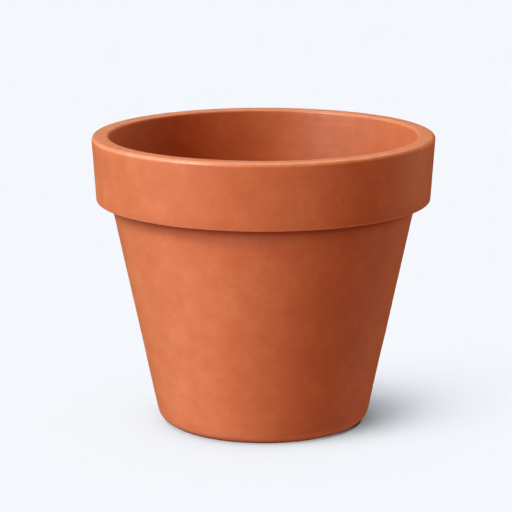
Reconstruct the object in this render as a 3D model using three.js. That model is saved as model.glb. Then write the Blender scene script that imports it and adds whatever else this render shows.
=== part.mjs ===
// A terracotta flower pot: one piece of fired clay, jiggered to shape in a single mould.
// It has a tapering body, a thick collar with a step under it, and a drain hole in the floor.
// Units are millimetres. The origin is the centre of the base, and +Z points up.

import * as THREE from 'three';

// Driving dimensions
const HEIGHT = 137;
const MOUTH_OUTER_RADIUS = 80;      // at the top of the collar
const MOUTH_INNER_RADIUS = 72;      // at the top of the inside wall
const COLLAR_HEIGHT = 30.5;
const COLLAR_FOOT_RADIUS = 78.1;    // at the collar's lower edge
const STEP_DEPTH = 6.7;             // how far the collar stands out over the body
const BASE_RADIUS = 49.1;           // where wall and base would meet, unrounded
const FLOOR_THICKNESS = 8;
const DRAIN_HOLE_RADIUS = 12;

// Roundings of the edges
const BASE_ROUNDING = 7;
const UNDER_COLLAR_ROUNDING = 1.2;
const COLLAR_EDGE_ROUNDING = 0.8;
const LIP_OUTER_ROUNDING = 1.8;
const LIP_INNER_ROUNDING = 1.6;
const INNER_FLOOR_ROUNDING = 9;
const HOLE_ROUNDING = 1.2;

const ARC_STEPS = 4;                // straight steps along each rounding
const TURN_STEPS = 80;              // straight steps around the pot

// The inside wall runs parallel to the outside of the body.
const collarFootHeight = HEIGHT - COLLAR_HEIGHT;
const shoulderRadius = COLLAR_FOOT_RADIUS - STEP_DEPTH;
const taper = (shoulderRadius - BASE_RADIUS) / collarFootHeight;
const innerFloorRadius = MOUTH_INNER_RADIUS - taper * (HEIGHT - FLOOR_THICKNESS);

const corner = (radius, height, rounding) => ({ at: new THREE.Vector2(radius, height), rounding });

// The section on one side of the axis: up the outside, over the lip, down the inside.
const sectionCorners = [
  corner(DRAIN_HOLE_RADIUS, 0, HOLE_ROUNDING),
  corner(BASE_RADIUS, 0, BASE_ROUNDING),
  corner(shoulderRadius, collarFootHeight, UNDER_COLLAR_ROUNDING),
  corner(COLLAR_FOOT_RADIUS, collarFootHeight, COLLAR_EDGE_ROUNDING),
  corner(MOUTH_OUTER_RADIUS, HEIGHT, LIP_OUTER_ROUNDING),
  corner(MOUTH_INNER_RADIUS, HEIGHT, LIP_INNER_ROUNDING),
  corner(innerFloorRadius, FLOOR_THICKNESS, INNER_FLOOR_ROUNDING),
  corner(DRAIN_HOLE_RADIUS, FLOOR_THICKNESS, HOLE_ROUNDING),
];

// An arc that touches both sides of a corner. Its centre lies on the line that halves the corner.
function roundedCorner(before, here, after) {
  const toBefore = before.at.clone().sub(here.at).normalize();
  const toAfter = after.at.clone().sub(here.at).normalize();
  const halfAngle = Math.acos(toBefore.dot(toAfter)) / 2;
  const halfway = toBefore.clone().add(toAfter).normalize();
  const centre = here.at.clone().addScaledVector(halfway, here.rounding / Math.sin(halfAngle));
  const start = here.at.clone().addScaledVector(toBefore, here.rounding / Math.tan(halfAngle));
  const sweep = (Math.PI - 2 * halfAngle) * Math.sign(toAfter.cross(toBefore));
  const points = [];
  for (let step = 0; step <= ARC_STEPS; step += 1) {
    points.push(start.clone().rotateAround(centre, (sweep * step) / ARC_STEPS));
  }
  return points;
}

function sectionOutline(corners) {
  const count = corners.length;
  const outline = corners.flatMap((here, i) => (
    roundedCorner(corners[(i + count - 1) % count], here, corners[(i + 1) % count])
  ));
  outline.push(outline[0].clone());
  return outline;
}

function flowerPot() {
  const geometry = new THREE.LatheGeometry(sectionOutline(sectionCorners), TURN_STEPS);
  geometry.rotateX(Math.PI / 2);    // the lathe turns about Y, and the pot stands along Z
  const terracotta = new THREE.MeshStandardMaterial({
    color: 0xc4683f,
    roughness: 0.78,
    metalness: 0,
  });
  const pot = new THREE.Mesh(geometry, terracotta);
  pot.name = 'pot';
  return pot;
}

const model = new THREE.Group();
model.add(flowerPot());

export default model;
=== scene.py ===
import math

import bpy
import numpy as np
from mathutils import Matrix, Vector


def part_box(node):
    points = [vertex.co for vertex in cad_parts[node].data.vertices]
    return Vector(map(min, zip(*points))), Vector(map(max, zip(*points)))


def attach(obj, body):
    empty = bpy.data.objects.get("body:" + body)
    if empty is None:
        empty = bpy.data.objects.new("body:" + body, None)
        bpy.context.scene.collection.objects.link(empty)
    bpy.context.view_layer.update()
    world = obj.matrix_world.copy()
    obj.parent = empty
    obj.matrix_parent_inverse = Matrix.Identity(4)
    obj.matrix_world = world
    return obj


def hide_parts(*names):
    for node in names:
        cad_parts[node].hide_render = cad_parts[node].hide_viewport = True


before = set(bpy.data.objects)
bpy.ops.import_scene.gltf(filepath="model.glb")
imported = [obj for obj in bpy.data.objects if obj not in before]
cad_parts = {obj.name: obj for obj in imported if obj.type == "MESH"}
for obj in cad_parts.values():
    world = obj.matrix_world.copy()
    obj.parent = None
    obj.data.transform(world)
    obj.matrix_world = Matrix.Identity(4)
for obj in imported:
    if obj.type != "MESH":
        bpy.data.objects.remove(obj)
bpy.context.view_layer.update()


# ------------------------------------------------------------------ the pot
# One piece of red earthenware. The clay is pressed against a turning mould by a profile tool, so the
# section is crisp and even, and it is fired unglazed. Drying leaves it a hair out of round, and handling
# in the soft state leaves shallow dents.

MM = 0.001
pot_low, pot_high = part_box("pot")
HEIGHT = pot_high.z
MOUTH_OUTER_RADIUS = 80 * MM
MOUTH_INNER_RADIUS = 72 * MM
COLLAR_HEIGHT = 30.5 * MM
COLLAR_FOOT_RADIUS = 78.1 * MM
STEP_DEPTH = 6.7 * MM
BASE_RADIUS = 49.1 * MM
FLOOR_THICKNESS = 8 * MM
DRAIN_HOLE_RADIUS = 12 * MM

# how closely the surface is worked out
ARC_ROWS = 9
ROW_GAP = 1.5 * MM
COLUMNS = 396

# unevenness left by the mould, the profile tool, the maker's hands and the kiln
WAVE_SIZE = 0.035 * MM
RING_SIZE = 0.008 * MM
RING_WAVELENGTHS = (4.3 * MM, 6.1 * MM, 9.7 * MM, 15.2 * MM)
DENTS = 70
DENT_SPREAD = (1.2 * MM, 3.2 * MM)
DENT_DEPTH = (0.02 * MM, 0.07 * MM)
OVAL = 0.10 * MM
THREE_SIDED = 0.05 * MM
LIP_TILT = 0.2 * MM
LIP_WAVE = 0.05 * MM

# where the colour is painted darker as shade, in the corner under the collar and at the foot, and where the
# lip is rubbed paler, which also lays a painted highlight on it
CORNER_REACH = 1.8 * MM
CORNER_FADE = 2.3 * MM
FOOT_REACH = 1.3 * MM
FOOT_FADE = 0.9 * MM
HOLE_CLEARANCE = 8 * MM
LIP_BAND = 1 * MM
LIP_WEAR_AND_HIGHLIGHT = 0.5

collar_foot = HEIGHT - COLLAR_HEIGHT
shoulder_radius = COLLAR_FOOT_RADIUS - STEP_DEPTH
taper = (shoulder_radius - BASE_RADIUS) / collar_foot
inner_floor_radius = MOUTH_INNER_RADIUS - taper * (HEIGHT - FLOOR_THICKNESS)

# radius, height, rounding and edge wear of each corner, up the outside, over the lip and down the inside;
# the edge wear is also a painted highlight on the rounded edges
SECTION = np.array([
    (DRAIN_HOLE_RADIUS, 0, 1.2 * MM, 0.2),
    (BASE_RADIUS, 0, 7 * MM, 0.5),
    (shoulder_radius, collar_foot, 1.2 * MM, 0),
    (COLLAR_FOOT_RADIUS, collar_foot, 0.8 * MM, 1),
    (MOUTH_OUTER_RADIUS, HEIGHT, 1.8 * MM, 1),
    (MOUTH_INNER_RADIUS, HEIGHT, 1.6 * MM, 0.4),
    (inner_floor_radius, FLOOR_THICKNESS, 9 * MM, 0),
    (DRAIN_HOLE_RADIUS, FLOOR_THICKNESS, 1.2 * MM, 0.2),
])


def unit(rows):
    return rows / np.linalg.norm(rows, axis=1, keepdims=True)


def rounded_section(corners):
    """The section as one closed row of points: radius, height, and how much the edge is rubbed paler, which
    also paints a highlight on it.
    A corner becomes an arc that touches both its sides. The arc's centre lies on the line that halves the
    corner, at rounding / sin(half the corner's angle) from it, and the arc starts rounding / tan(half) back
    along the side. Between two arcs the points are evenly spaced along the straight."""
    at, rounding, wear_and_highlight = corners[:, :2], corners[:, 2:3], corners[:, 3]
    back = unit(np.roll(at, 1, axis=0) - at)
    ahead = unit(np.roll(at, -1, axis=0) - at)
    half = np.arccos((back * ahead).sum(axis=1, keepdims=True)) / 2
    centre = at + unit(back + ahead) * rounding / np.sin(half)
    start = at + back * rounding / np.tan(half)
    finish = at + ahead * rounding / np.tan(half)
    turn = np.sign(ahead[:, 0] * back[:, 1] - ahead[:, 1] * back[:, 0])
    sweep = (math.pi - 2 * half[:, 0]) * turn
    stretches = []
    for i in range(len(corners)):
        share = np.linspace(0, 1, ARC_ROWS)
        angle = sweep[i] * share
        spoke = start[i] - centre[i]
        arc = centre[i] + np.stack([
            spoke[0] * np.cos(angle) - spoke[1] * np.sin(angle),
            spoke[0] * np.sin(angle) + spoke[1] * np.cos(angle),
        ], axis=1)
        stretches.append(np.column_stack([arc, wear_and_highlight[i] * np.sin(math.pi * share)]))
        following = start[(i + 1) % len(corners)]
        steps = max(2, round(np.linalg.norm(following - finish[i]) / ROW_GAP))
        along = np.linspace(0, 1, steps, endpoint=False)[1:, None]
        straight = finish[i] + (following - finish[i]) * along
        stretches.append(np.column_stack([straight, np.zeros(steps - 1)]))
    return np.concatenate(stretches)


def wavy_field(angle, height, seed, waves, most_around, most_up, size):
    """A soft uneven field over the wall: a sum of cosine waves, each with a whole number of waves around
    the pot, a number up it and a shift drawn from the seed, and with size as its root mean square."""
    draw = np.random.default_rng(seed)
    around = draw.integers(0, most_around + 1, waves)[:, None, None]
    up = draw.uniform(-most_up, most_up, waves)[:, None, None]
    shift = draw.uniform(0, 2 * math.pi, waves)[:, None, None]
    total = np.cos(around * angle + 2 * math.pi * up * height / HEIGHT + shift).sum(axis=0)
    return total * size * math.sqrt(2 / waves)


def pot_points():
    """The pot's surface as a grid of points, columns around by rows along the section, with the rubbed
    edges and their painted highlight, and the painted shade of the corners, at each. A point is (radius cos
    angle, radius sin angle, height), moved
    along the section's outward normal by the waves, the tool rings and the dents. A dent is a bell:
    depth x exp(-distance squared / 2 spread squared)."""
    section = rounded_section(SECTION)
    radius, height, wear_and_highlight = section.T
    tangent = unit(np.roll(section[:, :2], -1, axis=0) - np.roll(section[:, :2], 1, axis=0))
    normal_out, normal_up = tangent[:, 1], -tangent[:, 0]
    angle = np.linspace(0, 2 * math.pi, COLUMNS, endpoint=False)[:, None]
    direction = [np.cos(angle), np.sin(angle)]
    plain = np.stack([radius * direction[0], radius * direction[1], height + 0 * angle], axis=2)
    normal = np.stack([normal_out * direction[0], normal_out * direction[1], normal_up + 0 * angle], axis=2)

    wall = np.abs(normal_out)
    lift = wall * wavy_field(angle, height, seed=11, waves=26, most_around=14, most_up=5, size=WAVE_SIZE)
    rings = np.random.default_rng(5)
    for wavelength in RING_WAVELENGTHS:
        shift = rings.uniform(0, 2 * math.pi)
        ring = np.cos(2 * math.pi * height / wavelength + shift + 0.6 * np.sin(angle + shift))
        lift = lift + RING_SIZE * ring * wall

    dents = np.random.default_rng(23)
    places = plain.reshape(-1, 3)
    for _ in range(DENTS):
        centre = places[dents.integers(len(places))]
        spread = dents.uniform(*DENT_SPREAD)
        depth = dents.uniform(*DENT_DEPTH)
        distance = ((plain - centre) ** 2).sum(axis=2)
        lift = lift - depth * np.exp(-distance / (2 * spread ** 2))
    points = plain + normal * lift[:, :, None]

    # out of round, more towards the mouth, and a lip that isn't quite level
    upness = (height / HEIGHT) ** 2
    out_of_round = OVAL * np.cos(2 * angle + 0.7) + THREE_SIDED * np.cos(3 * angle + 2.1)
    points[:, :, 0] += out_of_round * upness * direction[0]
    points[:, :, 1] += out_of_round * upness * direction[1]
    points[:, :, 2] += (LIP_TILT * np.cos(angle) + LIP_WAVE * np.cos(3 * angle + 0.4)) * upness

    # painted shade: how deep in the corner under the collar, or how near the foot, each row lies: 1 there,
    # fading away.
    # It stands for the shade in that corner and the contact shadow at the foot.
    from_corner = np.hypot(radius - shoulder_radius, height - collar_foot)
    near_collar = np.exp(-np.maximum(from_corner - CORNER_REACH, 0) / CORNER_FADE)
    past_hole = radius > DRAIN_HOLE_RADIUS + HOLE_CLEARANCE
    near_foot = past_hole * np.exp(-np.maximum(height - FOOT_REACH, 0) / FOOT_FADE)
    corner = near_collar + near_foot

    # the top of the lip is rubbed paler too, and this also paints a highlight on the lip's top
    wear_and_highlight = np.maximum(wear_and_highlight, LIP_WEAR_AND_HIGHLIGHT * (height > HEIGHT - LIP_BAND))
    grid = points.shape[:2]
    return points, np.broadcast_to(wear_and_highlight, grid), np.broadcast_to(corner, grid)


def closed_grid(name, points):
    """A mesh whose grid of points closes on itself both ways, with square faces that point outwards."""
    columns, rows = points.shape[:2]
    index = np.arange(columns * rows).reshape(columns, rows)
    right = np.roll(index, -1, axis=0)
    faces = np.stack([index, right, np.roll(right, -1, axis=1), np.roll(index, -1, axis=1)], axis=2)
    mesh = bpy.data.meshes.new(name)
    mesh.vertices.add(columns * rows)
    mesh.vertices.foreach_set("co", points.reshape(-1))
    mesh.loops.add(faces.size)
    mesh.loops.foreach_set("vertex_index", faces.reshape(-1))
    mesh.polygons.add(columns * rows)
    mesh.polygons.foreach_set("loop_start", np.arange(0, faces.size, 4))
    mesh.update(calc_edges=True)
    mesh.shade_smooth()
    return mesh


points, wear_and_highlight, corner = pot_points()
pot_mesh = closed_grid("clay_pot", points)
for name, amount in (("worn_edge", wear_and_highlight), ("painted_shade", corner)):
    mask = pot_mesh.attributes.new(name, "FLOAT", "POINT")
    mask.data.foreach_set("value", np.ascontiguousarray(amount, dtype=np.float32).reshape(-1))
clay_pot = bpy.data.objects.new("clay_pot", pot_mesh)
bpy.context.scene.collection.objects.link(clay_pot)
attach(clay_pot, "root")
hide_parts("pot")


# ------------------------------------------------------------------ the fired clay
# Unglazed red earthenware, matt and nearly smooth. The kiln colours it in soft patches, the edges rub
# paler and carry a painted highlight, painted shade darkens the corner under the collar and the foot, and
# the surface holds wiping marks, sand grain, pits with painted shade in them and specks of grog.

CLAY = (0.54, 0.14, 0.055, 1)
PALE_CLAY = (0.70, 0.24, 0.12, 1)
DEEP_CLAY = (0.37, 0.075, 0.026, 1)
CORNER_SHADE = (0.21, 0.016, 0.002, 1)
PIT_SHADE = (0.20, 0.045, 0.018, 1)
GROG = (0.82, 0.38, 0.22, 1)
RUBBED_EDGE_AND_HIGHLIGHT = (0.86, 0.33, 0.18, 1)


def clay_node(tree, kind, joins=(), **settings):
    """Adds a node to a tree. Settings are its own; joins gives its inputs a value or another's output."""
    node = tree.nodes.new(kind)
    for setting, value in settings.items():
        setattr(node, setting, value)
    for socket, value in dict(joins).items():
        if isinstance(value, bpy.types.NodeSocket):
            tree.links.new(value, node.inputs[socket])
        else:
            node.inputs[socket].default_value = value
    return node


def effect(name, numbers, result):
    """An empty node group with a position and some numbers going in and one value coming out."""
    group = bpy.data.node_groups.new(name, "ShaderNodeTree")
    group.interface.new_socket("Position", in_out="INPUT", socket_type="NodeSocketVector")
    for number, usual in numbers.items():
        socket = group.interface.new_socket(number, in_out="INPUT", socket_type="NodeSocketFloat")
        socket.default_value = usual
    group.interface.new_socket(result, in_out="OUTPUT", socket_type="NodeSocketFloat")
    return group, group.nodes.new("NodeGroupInput").outputs, group.nodes.new("NodeGroupOutput").inputs


def soft_patches():
    """Cloudy noise of a given patch size, flattened up the pot by Stretch, from -1 to 1."""
    group, given, result = effect("soft_patches", {"Size": 0.01, "Stretch": 1.0, "Seed": 0.0}, "Patches")
    flat = clay_node(group, "ShaderNodeCombineXYZ", {"X": 1, "Y": 1, "Z": given["Stretch"]})
    laid = clay_node(group, "ShaderNodeVectorMath", {0: given["Position"], 1: flat.outputs[0]},
                     operation="MULTIPLY")
    scale = clay_node(group, "ShaderNodeMath", {0: 1, 1: given["Size"]}, operation="DIVIDE")
    noise = clay_node(group, "ShaderNodeTexNoise", {
        "Vector": laid.outputs[0], "W": given["Seed"], "Scale": scale.outputs[0], "Detail": 2,
        "Roughness": 0.5,
    }, noise_dimensions="4D")
    spread = clay_node(group, "ShaderNodeMapRange", {
        "Value": noise.outputs[0], "From Min": 0.3, "From Max": 0.7, "To Min": -1, "To Max": 1,
    })
    group.links.new(spread.outputs[0], result["Patches"])
    return group


def scattered_spots():
    """Small round spots, one in each cell of a given size. Share is the part of the cells that has one,
    and Width is a spot's diameter as a share of its cell."""
    group, given, result = effect("scattered_spots", {"Cell": 0.004, "Width": 0.2, "Share": 0.3}, "Spots")
    scale = clay_node(group, "ShaderNodeMath", {0: 1, 1: given["Cell"]}, operation="DIVIDE")
    cells = clay_node(group, "ShaderNodeTexVoronoi", {
        "Vector": given["Position"], "Scale": scale.outputs[0],
    })
    chance = clay_node(group, "ShaderNodeSeparateColor", {"Color": cells.outputs["Color"]})
    kept = clay_node(group, "ShaderNodeMath", {0: chance.outputs["Red"], 1: given["Share"]},
                     operation="LESS_THAN")
    uneven = clay_node(group, "ShaderNodeMath", {0: given["Width"], 1: chance.outputs["Green"]},
                       operation="MULTIPLY")
    spot = clay_node(group, "ShaderNodeMapRange", {
        "Value": cells.outputs["Distance"], "From Min": uneven.outputs[0], "From Max": 0,
        "To Min": 0, "To Max": 1,
    }, interpolation_type="SMOOTHSTEP")
    masked = clay_node(group, "ShaderNodeMath", {0: spot.outputs[0], 1: kept.outputs[0]},
                       operation="MULTIPLY")
    group.links.new(masked.outputs[0], result["Spots"])
    return group


def fired_clay():
    """The colour starts as plain clay. Patches shift it between pale and deep, then the rubbed edges with
    their painted highlight, the painted shade of the corner and the foot, the pits with their painted shade
    and the grog are laid over it. The height is grain and wiping marks, less the pits."""
    material = bpy.data.materials.new("terracotta")
    material.use_nodes = True
    tree = material.node_tree
    shader = tree.nodes["Principled BSDF"]
    place = clay_node(tree, "ShaderNodeTexCoord").outputs["Object"]
    patch_group, spot_group = soft_patches(), scattered_spots()

    def patches(size, stretch, seed):
        group = clay_node(tree, "ShaderNodeGroup", node_tree=patch_group)
        for socket, value in (("Size", size), ("Stretch", stretch), ("Seed", seed)):
            group.inputs[socket].default_value = value
        tree.links.new(place, group.inputs["Position"])
        return group.outputs[0]

    def spots(cell, width, share):
        group = clay_node(tree, "ShaderNodeGroup", node_tree=spot_group)
        for socket, value in (("Cell", cell), ("Width", width), ("Share", share)):
            group.inputs[socket].default_value = value
        tree.links.new(place, group.inputs["Position"])
        return group.outputs[0]

    def amount(value, times, plus=0.0):
        """The value times one number plus another, kept between 0 and 1."""
        return clay_node(tree, "ShaderNodeMath", {0: value, 1: times, 2: plus},
                         operation="MULTIPLY_ADD", use_clamp=True).outputs[0]

    def total(weighted):
        """The sum of values, each times its weight."""
        running = 0.0
        for value, weight in weighted:
            running = clay_node(tree, "ShaderNodeMath", {0: value, 1: weight, 2: running},
                                operation="MULTIPLY_ADD").outputs[0]
        return running

    def lay_over(under, over, strength):
        mix = clay_node(tree, "ShaderNodeMix", data_type="RGBA")
        for socket, value in ((0, strength), (6, under), (7, over)):
            if isinstance(value, bpy.types.NodeSocket):
                tree.links.new(value, mix.inputs[socket])
            else:
                mix.inputs[socket].default_value = value
        return mix.outputs[2]

    def mask(name):
        return clay_node(tree, "ShaderNodeAttribute", attribute_name=name).outputs["Fac"]

    firing = patches(45 * MM, 1.0, 1.0)
    cloud = patches(9 * MM, 0.9, 2.0)
    mottle = patches(3.6 * MM, 0.9, 3.0)
    wiping = patches(16 * MM, 9.0, 4.0)
    sand = patches(0.9 * MM, 1.0, 5.0)
    pits = spots(6 * MM, 0.15, 0.2)
    grog = spots(6.5 * MM, 0.11, 0.3)

    tone = total(((firing, 0.16), (cloud, 0.13), (mottle, 0.09), (wiping, 0.035), (sand, 0.04)))
    colour = lay_over(CLAY, PALE_CLAY, amount(tone, 1.0))
    colour = lay_over(colour, DEEP_CLAY, amount(tone, -1.0))
    worn_and_highlit = clay_node(tree, "ShaderNodeMath", {0: mask("worn_edge"), 1: amount(mottle, 0.15, 0.55)},
                     operation="MULTIPLY").outputs[0]
    # rubbed edges are paler, and this also paints highlights on the lip and the collar's lower edge
    colour = lay_over(colour, RUBBED_EDGE_AND_HIGHLIGHT, amount(worn_and_highlit, 0.9))
    # painted shade in the corner under the collar and painted contact shadow at the foot
    colour = lay_over(colour, CORNER_SHADE, amount(mask("painted_shade"), 0.92))
    # painted shade in the pits
    colour = lay_over(colour, PIT_SHADE, amount(pits, 0.4))
    colour = lay_over(colour, GROG, amount(grog, 0.45))
    tree.links.new(colour, shader.inputs["Base Color"])

    dullness = total(((cloud, 0.03), (sand, 0.03), (worn_and_highlit, -0.22), (pits, 0.2), (mask("painted_shade"), 0.4)))
    tree.links.new(amount(dullness, 1.0, 0.46), shader.inputs["Roughness"])
    shader.inputs["Specular IOR Level"].default_value = 0.3

    height = total(((sand, 0.012), (mottle, 0.02), (wiping, 0.012), (grog, 0.03), (pits, -0.22)))
    relief = clay_node(tree, "ShaderNodeBump", {"Height": height, "Distance": MM, "Strength": 1})
    tree.links.new(relief.outputs[0], shader.inputs["Normal"])
    return material


pot_mesh.materials.append(fired_clay())


# ------------------------------------------------------------------ the floor
# A plain pale studio floor, not part of the object. It is seen by the camera only, so that its brightness
# doesn't wash over the clay; the light that it would throw back up comes from the lamps below.

FLOOR_HALF_SIDE = 12
FLOOR_WHITE = (0.1, 0.1028, 0.1069, 1)
floor_mesh = bpy.data.meshes.new("studio_floor")
floor_mesh.from_pydata(
    [(x * FLOOR_HALF_SIDE, y * FLOOR_HALF_SIDE, 0) for x, y in ((-1, -1), (1, -1), (1, 1), (-1, 1))],
    [], [(0, 1, 2, 3)],
)
studio_floor = bpy.data.objects.new("studio_floor", floor_mesh)
bpy.context.scene.collection.objects.link(studio_floor)
studio_floor.visible_diffuse = False
studio_floor.visible_glossy = False
studio_floor.visible_shadow = False
pale = bpy.data.materials.new("pale_floor")
pale.use_nodes = True
pale_shader = pale.node_tree.nodes["Principled BSDF"]
pale_shader.inputs["Base Color"].default_value = FLOOR_WHITE
pale_shader.inputs["Roughness"].default_value = 1
pale_shader.inputs["Specular IOR Level"].default_value = 0
floor_mesh.materials.append(pale)


# ------------------------------------------------------------------ the light
# Soft studio lamps, each far away and as wide as its spread. Some light only the pot and some only the
# floor. Two low blocks in the pot's foot, which no view shows, throw the short soft shadow at the foot.

BLOCK_SIDES = 48
HIGH_BLOCK_RADIUS = 43 * MM
HIGH_BLOCK_HEIGHT = 33 * MM
LOW_BLOCK_RADIUS = 47.5 * MM
LOW_BLOCK_HEIGHT = 10 * MM


def shadow_block(name, radius, height):
    """An upright closed cylinder on the floor: one ring of points on it and one above, (radius cos turn,
    radius sin turn, height). Only the lamps that it shades take note of it."""
    turn = np.linspace(0, 2 * math.pi, BLOCK_SIDES, endpoint=False)
    ring = np.column_stack([radius * np.cos(turn), radius * np.sin(turn), 0 * turn])
    sides = [(i, (i + 1) % BLOCK_SIDES, BLOCK_SIDES + (i + 1) % BLOCK_SIDES, BLOCK_SIDES + i)
             for i in range(BLOCK_SIDES)]
    ends = [tuple(range(BLOCK_SIDES - 1, -1, -1)), tuple(range(BLOCK_SIDES, 2 * BLOCK_SIDES))]
    mesh = bpy.data.meshes.new(name)
    mesh.from_pydata(np.concatenate([ring, ring + (0, 0, height)]).tolist(), [], sides + ends)
    block = bpy.data.objects.new(name, mesh)
    bpy.context.scene.collection.objects.link(block)
    block.visible_camera = False
    block.visible_diffuse = False
    block.visible_glossy = False
    return block


groups = {}
for name, member in (
    ("pot", clay_pot),
    ("floor", studio_floor),
    ("high_block", shadow_block("high_block", HIGH_BLOCK_RADIUS, HIGH_BLOCK_HEIGHT)),
    ("low_block", shadow_block("low_block", LOW_BLOCK_RADIUS, LOW_BLOCK_HEIGHT)),
):
    groups[name] = bpy.data.collections.new("lamps_" + name)
    groups[name].objects.link(member)

# name, what it lights, what casts its shadow, azimuth from the camera's side with minus to the left,
# elevation and spread in degrees, and red, green and blue strength. Most of these numbers came out of a
# least-squares fitting program and were then rounded, scaled or changed.
LAMPS = [
    ("key", "pot", "pot", -60, 40, 12, (1.55, 1.75, 1.20)),
    ("front", "pot", "pot", -40, 32, 20, (0.70, 0.20, 0.02)),
    ("left", "pot", "pot", -100, 35, 30, (0.50, 0.90, 1.10)),
    ("low_left", "pot", "pot", -60, -5, 60, (2.55, 3.05, 3.65)),
    ("behind", "pot", "pot", 180, 60, 60, (2.1, 2.05, 1.8)),
    ("right", "pot", "pot", 118, 10, 60, (0.74, 0.45, 0.24)),
    ("low_right", "pot", "pot", 120, -30, 60, (0.75, 0.80, 0.85)),
    ("low_front", "pot", "pot", 30, -20, 60, (1.00, 0.50, 0.18)),
    ("low_back", "pot", "pot", 180, -25, 80, (0.32, 0.22, 0.16)),
    ("above", "pot", "pot", 0, 90, 40, (0.18, 0.16, 0.10)),
    ("glint", "pot", "pot", -60, 42, 18, (3.6, 3.4, 3.4)),
    ("floor_low", "floor", "high_block", -60, 25, 40, (13.6, 13.4, 12.3)),
    ("floor_middle", "floor", "high_block", -80, 40, 40, (9.4, 8.4, 7.6)),
    ("floor_high", "floor", "high_block", -80, 60, 40, (6.3, 7.0, 8.1)),
    ("floor_above", "floor", "pot", 0, 90, 60, (1.2, 1.2, 1.2)),
    ("floor_fill", "floor", "low_block", 0, 90, 170, (10.1, 10.25, 10.5)),
]
for name, lit, shading, azimuth, elevation, spread, strength in LAMPS:
    lamp = bpy.data.lights.new(name, "SUN")
    lamp.energy = max(strength)
    lamp.color = [channel / lamp.energy for channel in strength]
    lamp.angle = math.radians(spread)
    stand = bpy.data.objects.new(name, lamp)
    stand.rotation_euler = (math.radians(90 - elevation), 0, math.radians(azimuth))
    stand.light_linking.receiver_collection = groups[lit]
    stand.light_linking.blocker_collection = groups[shading]
    bpy.context.scene.collection.objects.link(stand)
    stand.visible_glossy = not name.startswith("low")    # light off a matt floor leaves no gloss
    stand.visible_diffuse = name != "glint"              # the glint adds gloss and nothing else

# the backdrop is only seen, and lights nothing
BACKDROP = (0.905, 0.930, 0.973, 1)
world = bpy.data.worlds.new("studio")
world.use_nodes = True
backdrop = world.node_tree.nodes["Background"]
backdrop.inputs["Color"].default_value = BACKDROP
seen = world.node_tree.nodes.new("ShaderNodeLightPath")
world.node_tree.links.new(seen.outputs["Is Camera Ray"], backdrop.inputs["Strength"])
bpy.context.scene.world = world


# ------------------------------------------------------------------ the camera
# A long lens about a metre in front of the pot and a little above it, looking slightly down into the mouth.
# Its place, aim and lens were found by a fitting program.

SENSOR_WIDTH = 36
LENS = 154.7
CAMERA_PLACE = (-0.00346, -1.0134, 0.3051)
LOOKING_DOWN = math.radians(12.61)

camera = bpy.data.cameras.new("camera")
camera.sensor_width = SENSOR_WIDTH
camera.lens = LENS
camera_stand = bpy.data.objects.new("camera", camera)
camera_stand.location = CAMERA_PLACE
camera_stand.rotation_euler = (math.pi / 2 - LOOKING_DOWN, 0, 0)
bpy.context.scene.collection.objects.link(camera_stand)
bpy.context.scene.camera = camera_stand
bpy.context.scene.view_settings.view_transform = "Standard"
